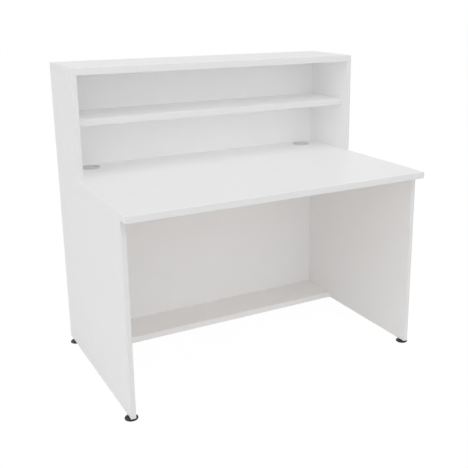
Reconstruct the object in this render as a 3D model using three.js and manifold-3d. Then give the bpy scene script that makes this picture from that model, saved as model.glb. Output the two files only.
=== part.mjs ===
// Reception desk: a work desk on two panel ends, with a raised counter over an open two-tier riser,
// a full-height front towards the visitor, a base shelf, two cable ports and four levelling feet.
// Millimetres, +Z up. X runs along the desk, -Y is the user's side and +Y the visitor's side.
// The origin is on the floor, under the middle of the desk's plan.
import * as THREE from 'three';
import { mergeVertices } from 'three/addons/utils/BufferGeometryUtils.js';
import Module from 'manifold-3d';

const wasm = await Module();
wasm.setup();

// Overall sizes
const DESK_WIDTH = 1200;
const DESK_DEPTH = 800;
const WORK_HEIGHT = 740;
const COUNTER_HEIGHT = 1150;
const FOOT_GAP = 10;

// Boards
const SIDE_THICKNESS = 18;
const BACK_THICKNESS = 25;
const DESKTOP_THICKNESS = 25;
const COUNTER_THICKNESS = 25;
const RISER_SHELF_THICKNESS = 25;
const BASE_SHELF_THICKNESS = 25;
const DESKTOP_OVERHANG = 50;
const RISER_DEPTH = 300;
const LOWER_TIER_SHARE = 0.545;
const RISER_SHELF_SETBACK = 38;
const BASE_SHELF_DEPTH = 180;
const THICK_EDGE_RADIUS = 2;
const SIDE_EDGE_RADIUS = 1;

// Clearances: between boards that meet, round a fitting in its bore, and in a thread
const BOARD_GAP = 0.2;
const BORE_GAP = 0.3;
const THREAD_GAP = 0.1;

// Cam fittings: a drum let into one board draws in a bolt that is screwed into its neighbour
const CAM_RADIUS = 7.5;
const CAM_INSET = 34;
const CAM_BELOW_BOLT = 5.2;
const CROSS_LENGTH = 8;
const CROSS_WIDTH = 2;
const CROSS_DEPTH = 1.4;
const BOLT_HEAD_RADIUS = 3.2;
const BOLT_HEAD_LENGTH = 3;
const BOLT_NECK_RADIUS = 2;
const BOLT_SHAFT_RADIUS = 3.4;
const BOLT_THREAD_RADIUS = 2.5;
const BOLT_THREAD_LENGTH = 11;
const BOLT_PLAY = 0.6;
const SHELF_JOINT_INSET = 45;
const BASE_JOINT_INSET = 40;
const DESKTOP_JOINT_FROM_PANEL_FRONT = 150;
const DESKTOP_JOINT_FROM_RISER = 80;

// Dowels
const DOWEL_RADIUS = 4;
const DOWEL_LENGTH = 30;
const DOWEL_DEPTH_IN_SIDE = 11;
const DOWEL_DEPTH_IN_BACK = 12;
const DOWEL_END_GAP = 0.5;
const COUNTER_DOWEL_INSET = 50;
const BACK_DOWEL_INSET = 95;
const DESKTOP_DOWEL_SPACING = 500;

// Cable ports: a flanged sleeve in the desktop and a turning cap with a notch for the cables
const PORT_HOLE_RADIUS = 30;
const PORT_FLANGE_RADIUS = 37.5;
const PORT_FLANGE_HEIGHT = 2.2;
const PORT_FLANGE_CHAMFER = 1.2;
const PORT_WALL = 1.6;
const PORT_SLEEVE_DEPTH = 20;
const PORT_LEDGE_WIDTH = 2.7;
const PORT_LEDGE_HEIGHT = 1.6;
const PORT_TO_SIDE = 54.5;
const PORT_TO_BACK = 15.5;
const CAP_NOTCH_WIDTH = 18;
const CAP_NOTCH_REACH = 11;
const CAP_NOTCH_ANGLE = 0;

// Levelling feet: a disc on the floor, a stud that turns in it and an insert in the side panel
const FOOT_TO_PANEL_FRONT = 25;
const FOOT_TO_PANEL_BACK = 50;
const DISC_RADIUS = 23.5;
const DISC_RIM_HEIGHT = 4;
const DISC_HUB_HEIGHT = 6;
const DISC_HUB_RADIUS = 10;
const DISC_SHOULDER = 2;
const DISC_BOTTOM_CHAMFER = 0.8;
const COLLAR_RADIUS = 7;
const COLLAR_HEIGHT = 2.2;
const COLLAR_RECESS = 1;
const STUD_NECK_RADIUS = 4;
const STUD_HEX_FLATS = 13;
const STUD_LENGTH = 25;
const STUD_TIP_CHAMFER = 0.8;
const STUD_TIP_ROOM = 2;
const THREAD_RADIUS = 4;
const INSERT_RADIUS = 6;
const INSERT_LENGTH = 20;

// Facets
const EDGE_STEPS = 3;
const BOLT_SIDES = 8;
const BORE_SIDES = 12;
const CAM_SIDES = 18;
const STUD_SIDES = 12;
const DISC_SIDES = 28;
const PORT_SIDES = 32;
const OVERRUN = 1;
const WELD = 1e-4;

// Finishes
const WHITE_BOARD = { color: 0xe8e8e6, roughness: 0.42, metalness: 0 };
const BEECH = { color: 0xd9b98a, roughness: 0.8, metalness: 0 };
const ZINC = { color: 0xa9abad, roughness: 0.45, metalness: 0.9 };
const STEEL = { color: 0xc2c4c7, roughness: 0.35, metalness: 0.95 };
const GREY_PLASTIC = { color: 0xb7b7b5, roughness: 0.5, metalness: 0 };
const BLACK_PLASTIC = { color: 0x232323, roughness: 0.55, metalness: 0 };

// Places worked out from the sizes
const halfWidth = DESK_WIDTH / 2;
const sideInnerX = halfWidth - SIDE_THICKNESS;
const sideMiddleX = halfWidth - SIDE_THICKNESS / 2;
const boardEndX = sideInnerX - BOARD_GAP;
const frontY = -DESK_DEPTH / 2;
const backY = DESK_DEPTH / 2;
const panelFrontY = frontY + DESKTOP_OVERHANG;
const riserFrontY = backY - RISER_DEPTH;
const backInnerY = backY - BACK_THICKNESS;
const backMiddleY = backY - BACK_THICKNESS / 2;
const boardBackY = backInnerY - BOARD_GAP;
const riserShelfFrontY = riserFrontY + RISER_SHELF_SETBACK;
const baseShelfFrontY = backInnerY - BASE_SHELF_DEPTH;
const desktopUnderZ = WORK_HEIGHT - DESKTOP_THICKNESS;
const counterUnderZ = COUNTER_HEIGHT - COUNTER_THICKNESS;
const tiersHeight = counterUnderZ - WORK_HEIGHT - RISER_SHELF_THICKNESS;
const riserShelfUnderZ = WORK_HEIGHT + LOWER_TIER_SHARE * tiersHeight;
const legTopZ = desktopUnderZ - BOARD_GAP;
const riserTopZ = counterUnderZ - BOARD_GAP;
const ENDS = [
  { side: 'left', sign: -1 },
  { side: 'right', sign: 1 },
];

const vector = (x, y, z) => new THREE.Vector3(x, y, z);
const up = vector(0, 0, 1);
const down = vector(0, 0, -1);
const towardsUser = vector(0, -1, 0);
const towardsVisitor = vector(0, 1, 0);

// A closed geometry as a solid that can be joined and cut
function toSolid(geometry) {
  const bare = geometry.index ? geometry.toNonIndexed() : geometry.clone();
  bare.deleteAttribute('normal');
  bare.deleteAttribute('uv');
  const welded = mergeVertices(bare, WELD);
  const corners = Array.from(welded.index.array);
  const triangles = [];
  for (let i = 0; i < corners.length; i += 3) {
    const [a, b, c] = corners.slice(i, i + 3);
    if (a !== b && b !== c && c !== a) {
      triangles.push(a, b, c);
    }
  }
  const mesh = new wasm.Mesh({
    numProp: 3,
    vertProperties: new Float32Array(welded.attributes.position.array),
    triVerts: new Uint32Array(triangles),
  });
  return new wasm.Manifold(mesh);
}

function toGeometry(solid) {
  const mesh = solid.getMesh();
  const geometry = new THREE.BufferGeometry();
  geometry.setAttribute('position', new THREE.BufferAttribute(mesh.vertProperties, mesh.numProp));
  geometry.setIndex(new THREE.BufferAttribute(mesh.triVerts, 1));
  geometry.computeVertexNormals();
  return geometry;
}

function piece(name, solid, finish) {
  const material = new THREE.MeshStandardMaterial({ ...finish, flatShading: true });
  const mesh = new THREE.Mesh(toGeometry(solid), material);
  mesh.name = name;
  return mesh;
}

// A rectangular block between two opposite corners
function block(low, high) {
  const size = high.clone().sub(low);
  const geometry = new THREE.BoxGeometry(size.x, size.y, size.z);
  const middle = low.clone().add(high).multiplyScalar(0.5);
  return geometry.translate(middle.x, middle.y, middle.z);
}

// A round bar between two points, also used as a drill
function bar(radius, from, to, sides = BORE_SIDES) {
  const run = to.clone().sub(from);
  const geometry = new THREE.CylinderGeometry(radius, radius, run.length(), sides);
  const turn = new THREE.Quaternion().setFromUnitVectors(vector(0, 1, 0), run.clone().normalize());
  const middle = from.clone().add(to).multiplyScalar(0.5);
  return geometry.applyQuaternion(turn).translate(middle.x, middle.y, middle.z);
}

// A solid of revolution about Z from a list of [radius, height]
function turned(profile, sides) {
  const points = profile.map(([radius, height]) => new THREE.Vector2(radius, height));
  return new THREE.LatheGeometry(points, sides).rotateX(Math.PI / 2);
}

// A flat outline [a, b] drawn on two axes and pushed along the third
function pushed(outline, axisA, axisB, start, depth) {
  const shape = new THREE.Shape(outline.map(([a, b]) => new THREE.Vector2(a, b)));
  const normal = axisA.clone().cross(axisB);
  const place = new THREE.Matrix4().makeBasis(axisA, axisB, normal).setPosition(start);
  return new THREE.ExtrudeGeometry(shape, { depth, bevelEnabled: false }).applyMatrix4(place);
}

// The sliver that is taken off one straight edge to leave it rounded.
// outA and outB are the outward normals of the two faces that meet there.
function edgeSliver(start, end, outA, outB, radius) {
  const outline = [
    [OVERRUN, OVERRUN],
    [-radius, OVERRUN],
  ];
  for (let step = 0; step <= EDGE_STEPS; step += 1) {
    const angle = (Math.PI / 2) * (1 - step / EDGE_STEPS);
    outline.push([radius * (Math.cos(angle) - 1), radius * (Math.sin(angle) - 1)]);
  }
  outline.push([OVERRUN, -radius]);
  const run = end.clone().sub(start);
  const forwards = outA.clone().cross(outB).dot(run) > 0;
  return pushed(outline, outA, outB, forwards ? start : end, run.length());
}

function cutBy(geometry, cutters) {
  return cutters.reduce((solid, cutter) => solid.subtract(toSolid(cutter)), toSolid(geometry));
}

// A joint's own frame: X along its bolt, Z out of the face that its drum is let into
function jointFrame(origin, along, facing) {
  const across = facing.clone().cross(along);
  return new THREE.Matrix4().makeBasis(along, across, facing).setPosition(origin);
}

// Cam fitting, drawn with the end of the drum's board at X = 0 and the bolt on the X axis.
// faceHeight is the distance from the bolt to the face that the drum is let into.
const slotHalf = BOLT_NECK_RADIUS + BOLT_PLAY;
const pocketHalf = BOLT_HEAD_RADIUS + BOLT_PLAY;
const headHalf = BOLT_HEAD_LENGTH / 2;

function camDrum(faceHeight) {
  const x = -CAM_INSET;
  const drum = bar(CAM_RADIUS, vector(x, 0, -CAM_BELOW_BOLT), vector(x, 0, faceHeight), CAM_SIDES);
  const slot = block(
    vector(x, -slotHalf, -slotHalf),
    vector(x + CAM_RADIUS + OVERRUN, slotHalf, slotHalf),
  );
  const pocket = block(
    vector(x - headHalf - BOLT_PLAY, -pocketHalf, -pocketHalf),
    vector(x + headHalf + BOLT_PLAY, pocketHalf, pocketHalf),
  );
  const crossFloor = faceHeight - CROSS_DEPTH;
  const crossTop = faceHeight + OVERRUN;
  const longHalf = CROSS_LENGTH / 2;
  const thinHalf = CROSS_WIDTH / 2;
  const crossAlong = block(
    vector(x - longHalf, -thinHalf, crossFloor),
    vector(x + longHalf, thinHalf, crossTop),
  );
  const crossOver = block(
    vector(x - thinHalf, -longHalf, crossFloor),
    vector(x + thinHalf, longHalf, crossTop),
  );
  return cutBy(drum, [slot, pocket, crossAlong, crossOver]);
}

function camBolt() {
  const headStart = -CAM_INSET - headHalf;
  const shaftStart = -CAM_INSET + CAM_RADIUS + BOLT_PLAY;
  const profile = [
    [0, headStart],
    [BOLT_HEAD_RADIUS, headStart],
    [BOLT_HEAD_RADIUS, headStart + BOLT_HEAD_LENGTH],
    [BOLT_NECK_RADIUS, headStart + BOLT_HEAD_LENGTH],
    [BOLT_NECK_RADIUS, shaftStart],
    [BOLT_SHAFT_RADIUS, shaftStart],
    [BOLT_SHAFT_RADIUS, 0],
    [BOLT_THREAD_RADIUS, 0],
    [BOLT_THREAD_RADIUS, BOLT_THREAD_LENGTH],
    [0, BOLT_THREAD_LENGTH],
  ];
  return toSolid(turned(profile, BOLT_SIDES).rotateY(Math.PI / 2));
}

// The bores that a cam fitting needs, in the drum's board and in its neighbour
function drumBores(joint) {
  const x = -CAM_INSET;
  const floor = -CAM_BELOW_BOLT - BORE_GAP;
  const mouth = joint.faceHeight + OVERRUN;
  const drum = bar(CAM_RADIUS + BORE_GAP, vector(x, 0, floor), vector(x, 0, mouth), CAM_SIDES);
  const shaft = bar(BOLT_SHAFT_RADIUS + BORE_GAP, vector(x, 0, 0), vector(OVERRUN, 0, 0));
  return [drum.applyMatrix4(joint.frame), shaft.applyMatrix4(joint.frame)];
}

function boltBore(joint) {
  const end = BOLT_THREAD_LENGTH + BOLT_PLAY;
  const hole = bar(BOLT_THREAD_RADIUS + BORE_GAP, vector(-OVERRUN, 0, 0), vector(end, 0, 0));
  return hole.applyMatrix4(joint.frame);
}

// Two fittings at each end of a board that runs between the side panels, let into its underside
function shelfJoints(board, frontEdgeY, inset, underZ, thickness) {
  const rows = [
    { row: 'front', y: frontEdgeY + inset },
    { row: 'back', y: boardBackY - inset },
  ];
  return ENDS.flatMap(({ side, sign }) =>
    rows.map(({ row, y }) => ({
      board,
      side,
      place: `${side}_${row}`,
      faceHeight: thickness / 2,
      frame: jointFrame(
        vector(sign * boardEndX, y, underZ + thickness / 2),
        vector(sign, 0, 0),
        down,
      ),
    })),
  );
}

// Two fittings in the top edge of each side panel, let into its inner face, for the desktop
function desktopJoints() {
  const rows = [
    { row: 'front', y: panelFrontY + DESKTOP_JOINT_FROM_PANEL_FRONT },
    { row: 'back', y: riserFrontY - DESKTOP_JOINT_FROM_RISER },
  ];
  return ENDS.flatMap(({ side, sign }) =>
    rows.map(({ row, y }) => ({
      board: 'desktop',
      side,
      place: `${side}_${row}`,
      faceHeight: SIDE_THICKNESS / 2,
      frame: jointFrame(
        vector(sign * sideMiddleX, y, legTopZ),
        up,
        vector(-sign, 0, 0),
      ),
    })),
  );
}

const baseShelfCams = shelfJoints(
  'base_shelf',
  baseShelfFrontY,
  BASE_JOINT_INSET,
  FOOT_GAP,
  BASE_SHELF_THICKNESS,
);
const riserShelfCams = shelfJoints(
  'riser_shelf',
  riserShelfFrontY,
  SHELF_JOINT_INSET,
  riserShelfUnderZ,
  RISER_SHELF_THICKNESS,
);
const desktopCams = desktopJoints();

// Dowels: each has the middle of its joint, its direction and its depth before and after the joint
const dowelHalf = DOWEL_LENGTH / 2;
const counterDowels = ENDS.flatMap(({ side, sign }) =>
  [
    { row: 'front', y: riserFrontY + COUNTER_DOWEL_INSET },
    { row: 'back', y: backInnerY - COUNTER_DOWEL_INSET },
  ].map(({ row, y }) => ({
    name: `counter_dowel_${side}_${row}`,
    side,
    at: vector(sign * sideMiddleX, y, counterUnderZ),
    along: up,
    before: dowelHalf,
    after: dowelHalf,
  })),
);
const backLowZ = FOOT_GAP + BACK_DOWEL_INSET;
const backHighZ = riserTopZ - BACK_DOWEL_INSET;
const backDowels = ENDS.flatMap(({ side, sign }) =>
  [
    { row: 'low', z: backLowZ },
    { row: 'middle', z: (backLowZ + backHighZ) / 2 },
    { row: 'high', z: backHighZ },
  ].map(({ row, z }) => ({
    name: `back_dowel_${side}_${row}`,
    side,
    at: vector(sign * sideInnerX, backMiddleY, z),
    along: vector(sign, 0, 0),
    before: DOWEL_LENGTH - DOWEL_DEPTH_IN_SIDE,
    after: DOWEL_DEPTH_IN_SIDE,
  })),
);
const desktopDowels = ENDS.map(({ side, sign }) => ({
  name: `desktop_dowel_${side}`,
  side,
  at: vector((sign * DESKTOP_DOWEL_SPACING) / 2, backInnerY, desktopUnderZ + DESKTOP_THICKNESS / 2),
  along: towardsVisitor,
  before: DOWEL_LENGTH - DOWEL_DEPTH_IN_BACK,
  after: DOWEL_DEPTH_IN_BACK,
}));

const alongDowel = (dowel, reach) => dowel.at.clone().addScaledVector(dowel.along, reach);

function dowelBoreBefore(dowel) {
  const bottom = alongDowel(dowel, -dowel.before - DOWEL_END_GAP);
  return bar(DOWEL_RADIUS + BORE_GAP, bottom, alongDowel(dowel, OVERRUN));
}

function dowelBoreAfter(dowel) {
  const bottom = alongDowel(dowel, dowel.after + DOWEL_END_GAP);
  return bar(DOWEL_RADIUS + BORE_GAP, alongDowel(dowel, -OVERRUN), bottom);
}

function dowelPeg(dowel) {
  const start = alongDowel(dowel, -dowel.before);
  const end = alongDowel(dowel, dowel.after);
  return toSolid(bar(DOWEL_RADIUS, start, end, BOLT_SIDES));
}

// Levelling feet and cable ports: where each one stands
const footRows = [
  { row: 'front', y: panelFrontY + FOOT_TO_PANEL_FRONT },
  { row: 'back', y: backY - FOOT_TO_PANEL_BACK },
];
const footPlaces = ENDS.flatMap(({ side, sign }) =>
  footRows.map(({ row, y }) => ({ side, name: `${side}_${row}`, at: vector(sign * sideMiddleX, y, 0) })),
);
const portX = sideInnerX - PORT_TO_SIDE - PORT_FLANGE_RADIUS;
const portY = backInnerY - PORT_TO_BACK - PORT_FLANGE_RADIUS;
const portPlaces = ENDS.map(({ side, sign }) => ({
  name: side,
  at: vector(sign * portX, portY, WORK_HEIGHT),
}));

// Side panel: leg and riser side in one L-shaped board, its open edges rounded
function sidePanel({ side, sign }) {
  const outline = [
    [panelFrontY, FOOT_GAP],
    [backY, FOOT_GAP],
    [backY, riserTopZ],
    [riserFrontY, riserTopZ],
    [riserFrontY, legTopZ],
    [panelFrontY, legTopZ],
  ];
  const outer = sign * halfWidth;
  const inner = sign * sideInnerX;
  const left = Math.min(outer, inner);
  const board = pushed(outline, towardsVisitor, up, vector(left, 0, 0), SIDE_THICKNESS);
  const outwards = vector(sign, 0, 0);
  const inwards = vector(-sign, 0, 0);
  const upright = (x, y, low, high, faceOut, edgeOut) =>
    edgeSliver(vector(x, y, low), vector(x, y, high), faceOut, edgeOut, SIDE_EDGE_RADIUS);
  const rounding = [
    upright(outer, panelFrontY, FOOT_GAP, legTopZ, outwards, towardsUser),
    upright(inner, panelFrontY, FOOT_GAP, legTopZ, inwards, towardsUser),
    upright(outer, riserFrontY, WORK_HEIGHT, riserTopZ, outwards, towardsUser),
    upright(inner, riserFrontY, WORK_HEIGHT, riserTopZ, inwards, towardsUser),
    upright(outer, backY, FOOT_GAP, riserTopZ, outwards, towardsVisitor),
  ];
  const here = (item) => item.side === side;
  const bores = [
    ...baseShelfCams.filter(here).map(boltBore),
    ...riserShelfCams.filter(here).map(boltBore),
    ...desktopCams.filter(here).flatMap(drumBores),
    ...counterDowels.filter(here).map(dowelBoreBefore),
    ...backDowels.filter(here).map(dowelBoreAfter),
    ...footPlaces.filter(here).flatMap(footBores),
  ];
  return piece(`${side}_side_panel`, cutBy(board, [...rounding, ...bores]), WHITE_BOARD);
}

// The upper or the lower corner of a thick board's edge, rounded along one straight run.
// faceOut is the outward normal of the board's top or underside.
function roundedCorner(start, end, out, faceZ, faceOut) {
  const from = vector(start.x, start.y, faceZ);
  const to = vector(end.x, end.y, faceZ);
  return edgeSliver(from, to, faceOut, out, THICK_EDGE_RADIUS);
}

// Desktop: full width in front of the riser, narrower where it runs back between the riser sides.
// Its lower corners stay square where they sit on the side panels.
function desktop() {
  const earBackY = riserFrontY - BOARD_GAP;
  const outline = [
    [-halfWidth, frontY],
    [halfWidth, frontY],
    [halfWidth, earBackY],
    [boardEndX, earBackY],
    [boardEndX, boardBackY],
    [-boardEndX, boardBackY],
    [-boardEndX, earBackY],
    [-halfWidth, earBackY],
  ];
  const start = vector(0, 0, desktopUnderZ);
  const board = pushed(outline, vector(1, 0, 0), vector(0, 1, 0), start, DESKTOP_THICKNESS);
  const frontLeft = vector(-halfWidth, frontY, 0);
  const frontRight = vector(halfWidth, frontY, 0);
  const earLeft = vector(-halfWidth, earBackY, 0);
  const earRight = vector(halfWidth, earBackY, 0);
  const rounding = [
    roundedCorner(frontLeft, frontRight, towardsUser, desktopUnderZ, down),
    roundedCorner(frontLeft, frontRight, towardsUser, WORK_HEIGHT, up),
    roundedCorner(frontLeft, earLeft, vector(-1, 0, 0), WORK_HEIGHT, up),
    roundedCorner(frontRight, earRight, vector(1, 0, 0), WORK_HEIGHT, up),
  ];
  const portHoles = portPlaces.map(({ at }) => {
    const under = vector(at.x, at.y, desktopUnderZ - OVERRUN);
    const over = vector(at.x, at.y, WORK_HEIGHT + OVERRUN);
    return bar(PORT_HOLE_RADIUS, under, over, PORT_SIDES);
  });
  const bores = [...desktopCams.map(boltBore), ...desktopDowels.map(dowelBoreBefore)];
  return piece('desktop', cutBy(board, [...rounding, ...portHoles, ...bores]), WHITE_BOARD);
}

// Counter top: rests square on the riser sides and the back panel, with its upper corners rounded
function counterTop() {
  const board = block(
    vector(-halfWidth, riserFrontY, counterUnderZ),
    vector(halfWidth, backY, COUNTER_HEIGHT),
  );
  const corners = [
    vector(-halfWidth, riserFrontY, 0),
    vector(halfWidth, riserFrontY, 0),
    vector(halfWidth, backY, 0),
    vector(-halfWidth, backY, 0),
  ];
  const outs = [towardsUser, vector(1, 0, 0), towardsVisitor, vector(-1, 0, 0)];
  const rounding = corners.map((corner, index) =>
    roundedCorner(corner, corners[(index + 1) % 4], outs[index], COUNTER_HEIGHT, up),
  );
  const bores = counterDowels.map(dowelBoreAfter);
  return piece('counter_top', cutBy(board, [...rounding, ...bores]), WHITE_BOARD);
}

// A shelf between the side panels, against the back panel, with its front edge rounded
function shelf(name, shelfFrontY, underZ, thickness, cams) {
  const topZ = underZ + thickness;
  const board = block(
    vector(-boardEndX, shelfFrontY, underZ),
    vector(boardEndX, boardBackY, topZ),
  );
  const left = vector(-boardEndX, shelfFrontY, 0);
  const right = vector(boardEndX, shelfFrontY, 0);
  const rounding = [
    roundedCorner(left, right, towardsUser, topZ, up),
    roundedCorner(left, right, towardsUser, underZ, down),
  ];
  return piece(name, cutBy(board, [...rounding, ...cams.flatMap(drumBores)]), WHITE_BOARD);
}

function backPanel() {
  const board = block(
    vector(-boardEndX, backInnerY, FOOT_GAP),
    vector(boardEndX, backY, riserTopZ),
  );
  const bores = [...backDowels.map(dowelBoreBefore), ...desktopDowels.map(dowelBoreAfter)];
  return piece('back_panel', cutBy(board, bores), WHITE_BOARD);
}

function camFitting(joint) {
  const group = new THREE.Group();
  group.applyMatrix4(joint.frame);
  group.add(piece(`${joint.board}_cam_${joint.place}`, camDrum(joint.faceHeight), ZINC));
  group.add(piece(`${joint.board}_bolt_${joint.place}`, camBolt(), STEEL));
  return group;
}

// Levelling foot, drawn with the floor at Z = 0 and the stud on the Z axis
const studTopZ = FOOT_GAP + STUD_LENGTH;
const pocketTopZ = COLLAR_RECESS + COLLAR_HEIGHT + BORE_GAP;
const hexUnderZ = DISC_HUB_HEIGHT + BORE_GAP;
const hexTopZ = FOOT_GAP - BORE_GAP;

function footBores({ at }) {
  const bottom = vector(at.x, at.y, FOOT_GAP - OVERRUN);
  const insertTop = vector(at.x, at.y, FOOT_GAP + INSERT_LENGTH + BORE_GAP);
  const tipTop = vector(at.x, at.y, studTopZ + STUD_TIP_ROOM);
  return [
    bar(INSERT_RADIUS + BORE_GAP, bottom, insertTop),
    bar(THREAD_RADIUS + BORE_GAP, bottom, tipTop),
  ];
}

function footDisc() {
  const pocket = COLLAR_RADIUS + BORE_GAP;
  const bore = STUD_NECK_RADIUS + BORE_GAP;
  const profile = [
    [pocket, 0],
    [DISC_RADIUS - DISC_BOTTOM_CHAMFER, 0],
    [DISC_RADIUS, DISC_BOTTOM_CHAMFER],
    [DISC_RADIUS, DISC_RIM_HEIGHT - DISC_BOTTOM_CHAMFER],
    [DISC_RADIUS - DISC_SHOULDER, DISC_RIM_HEIGHT],
    [DISC_HUB_RADIUS, DISC_HUB_HEIGHT],
    [bore, DISC_HUB_HEIGHT],
    [bore, pocketTopZ],
    [pocket, pocketTopZ],
    [pocket, 0],
  ];
  return toSolid(turned(profile, DISC_SIDES));
}

function footStud() {
  const thread = THREAD_RADIUS - THREAD_GAP;
  const profile = [
    [0, COLLAR_RECESS],
    [COLLAR_RADIUS, COLLAR_RECESS],
    [COLLAR_RADIUS, COLLAR_RECESS + COLLAR_HEIGHT],
    [STUD_NECK_RADIUS, COLLAR_RECESS + COLLAR_HEIGHT],
    [STUD_NECK_RADIUS, (hexUnderZ + hexTopZ) / 2],
    [thread, (hexUnderZ + hexTopZ) / 2],
    [thread, studTopZ - STUD_TIP_CHAMFER],
    [thread - STUD_TIP_CHAMFER, studTopZ],
    [0, studTopZ],
  ];
  const hexRadius = STUD_HEX_FLATS / 2 / Math.cos(Math.PI / 6);
  const hexagon = bar(hexRadius, vector(0, 0, hexUnderZ), vector(0, 0, hexTopZ), 6);
  return toSolid(turned(profile, STUD_SIDES)).add(toSolid(hexagon));
}

function footInsert() {
  const bore = THREAD_RADIUS + THREAD_GAP;
  const top = FOOT_GAP + INSERT_LENGTH;
  const profile = [
    [bore, FOOT_GAP],
    [INSERT_RADIUS, FOOT_GAP],
    [INSERT_RADIUS, top],
    [bore, top],
    [bore, FOOT_GAP],
  ];
  return toSolid(turned(profile, STUD_SIDES));
}

function levellingFoot({ name, at }) {
  const group = new THREE.Group();
  group.position.copy(at);
  group.add(piece(`foot_disc_${name}`, footDisc(), BLACK_PLASTIC));
  group.add(piece(`foot_stud_${name}`, footStud(), STEEL));
  group.add(piece(`foot_insert_${name}`, footInsert(), ZINC));
  return group;
}

// Cable port, drawn with the work surface at Z = 0 and the hole on the Z axis
const sleeveOuter = PORT_HOLE_RADIUS - BORE_GAP;
const sleeveInner = sleeveOuter - PORT_WALL;
const flangeUnder = BOARD_GAP;
const flangeTop = flangeUnder + PORT_FLANGE_HEIGHT;
const capUnder = flangeUnder;
const ledgeTop = capUnder - BORE_GAP;

function portSleeve() {
  const ledgeUnder = ledgeTop - PORT_LEDGE_HEIGHT;
  const ledgeInner = sleeveInner - PORT_LEDGE_WIDTH;
  const profile = [
    [ledgeInner, ledgeUnder],
    [sleeveInner, ledgeUnder],
    [sleeveInner, -PORT_SLEEVE_DEPTH],
    [sleeveOuter, -PORT_SLEEVE_DEPTH],
    [sleeveOuter, flangeUnder],
    [PORT_FLANGE_RADIUS, flangeUnder],
    [PORT_FLANGE_RADIUS, flangeTop - PORT_FLANGE_CHAMFER],
    [PORT_FLANGE_RADIUS - PORT_FLANGE_CHAMFER, flangeTop],
    [sleeveInner, flangeTop],
    [sleeveInner, ledgeTop],
    [ledgeInner, ledgeTop],
    [ledgeInner, ledgeUnder],
  ];
  return toSolid(turned(profile, PORT_SIDES));
}

// The cap is a disc whose round-ended notch runs in from its rim
function portCap() {
  const rim = sleeveInner - BORE_GAP;
  const half = CAP_NOTCH_WIDTH / 2;
  const rimAngle = Math.asin(half / rim);
  const notchCentre = rim - CAP_NOTCH_REACH + half;
  const shape = new THREE.Shape();
  shape.absarc(0, 0, rim, rimAngle, 2 * Math.PI - rimAngle, false);
  shape.absarc(notchCentre, 0, half, -Math.PI / 2, Math.PI / 2, true);
  shape.closePath();
  const settings = { depth: PORT_FLANGE_HEIGHT, bevelEnabled: false, curveSegments: PORT_SIDES / 2 };
  return toSolid(new THREE.ExtrudeGeometry(shape, settings).translate(0, 0, capUnder));
}

function cablePort({ name, at }) {
  const group = new THREE.Group();
  group.position.copy(at);
  group.add(piece(`port_sleeve_${name}`, portSleeve(), GREY_PLASTIC));
  const cap = piece(`port_cap_${name}`, portCap(), GREY_PLASTIC);
  cap.rotation.z = THREE.MathUtils.degToRad(CAP_NOTCH_ANGLE);
  group.add(cap);
  return group;
}

// The whole desk
const desk = new THREE.Group();
desk.name = 'reception_desk';
desk.add(...ENDS.map(sidePanel));
desk.add(desktop(), counterTop(), backPanel());
desk.add(shelf('riser_shelf', riserShelfFrontY, riserShelfUnderZ, RISER_SHELF_THICKNESS, riserShelfCams));
desk.add(shelf('base_shelf', baseShelfFrontY, FOOT_GAP, BASE_SHELF_THICKNESS, baseShelfCams));
desk.add(...[...baseShelfCams, ...riserShelfCams, ...desktopCams].map(camFitting));
for (const dowel of [...counterDowels, ...backDowels, ...desktopDowels]) {
  desk.add(piece(dowel.name, dowelPeg(dowel), BEECH));
}
desk.add(...footPlaces.map(levellingFoot));
desk.add(...portPlaces.map(cablePort));

export default desk;
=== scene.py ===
"""Reception desk: boards, fittings, finishes and stage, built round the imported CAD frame."""

import math
from collections import namedtuple
from contextlib import contextmanager

import bmesh
import bpy
from bpy.props import FloatProperty, FloatVectorProperty, IntProperty, PointerProperty
from mathutils import Matrix, Vector


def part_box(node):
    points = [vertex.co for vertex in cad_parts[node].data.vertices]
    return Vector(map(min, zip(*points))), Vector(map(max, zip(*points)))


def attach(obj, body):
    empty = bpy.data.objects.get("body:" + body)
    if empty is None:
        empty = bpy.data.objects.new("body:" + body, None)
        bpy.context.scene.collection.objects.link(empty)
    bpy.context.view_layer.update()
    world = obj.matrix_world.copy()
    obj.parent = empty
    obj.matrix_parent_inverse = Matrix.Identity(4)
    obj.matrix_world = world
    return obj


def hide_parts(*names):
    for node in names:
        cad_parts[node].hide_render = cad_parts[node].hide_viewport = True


bl_info = {
    "name": "Reception Desk",
    "version": (1, 0, 0),
    "blender": (4, 5, 0),
    "location": "3D View > Sidebar > Desk",
    "description": "Builds a white reception desk with a raised counter, cable ports and levelling feet",
    "category": "Add Mesh",
}

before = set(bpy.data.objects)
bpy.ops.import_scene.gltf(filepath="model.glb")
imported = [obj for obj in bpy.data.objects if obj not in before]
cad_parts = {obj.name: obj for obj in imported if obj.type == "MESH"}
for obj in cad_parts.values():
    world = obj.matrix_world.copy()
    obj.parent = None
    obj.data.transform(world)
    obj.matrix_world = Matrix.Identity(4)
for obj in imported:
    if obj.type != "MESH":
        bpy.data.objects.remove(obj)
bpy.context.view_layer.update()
MM = 0.001
SIDES = (("left", -1), ("right", 1))
X, Y, Z = Vector((1, 0, 0)), Vector((0, 1, 0)), Vector((0, 0, 1))
DRUM_RADIUS = 7.5 * MM
BOLT_THREAD_RADIUS = 2.5 * MM
STUD_RADIUS = 4 * MM
NEAR = MM                 # closer to a face than this is on it
SAME = 0.05 * MM          # closer together than this is one place
OVERRUN = MM              # how far a cutting tool runs past a surface
FLAT_ANGLE = 0.01         # faces that turn less than this are one face
SQUARE_ON = 0.9           # a normal with this much along an axis faces that way
STRAIGHT_ON = 0.999       # and with this much it does so exactly
ROUNDED_TO = 0.3          # a rounded edge's faces count down to this much
LAMP_AIM = 0.6 * Z        # the spot that the lamps look at
COLOUR = {"size": 3, "min": 0, "max": 1, "subtype": "COLOR"}


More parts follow.
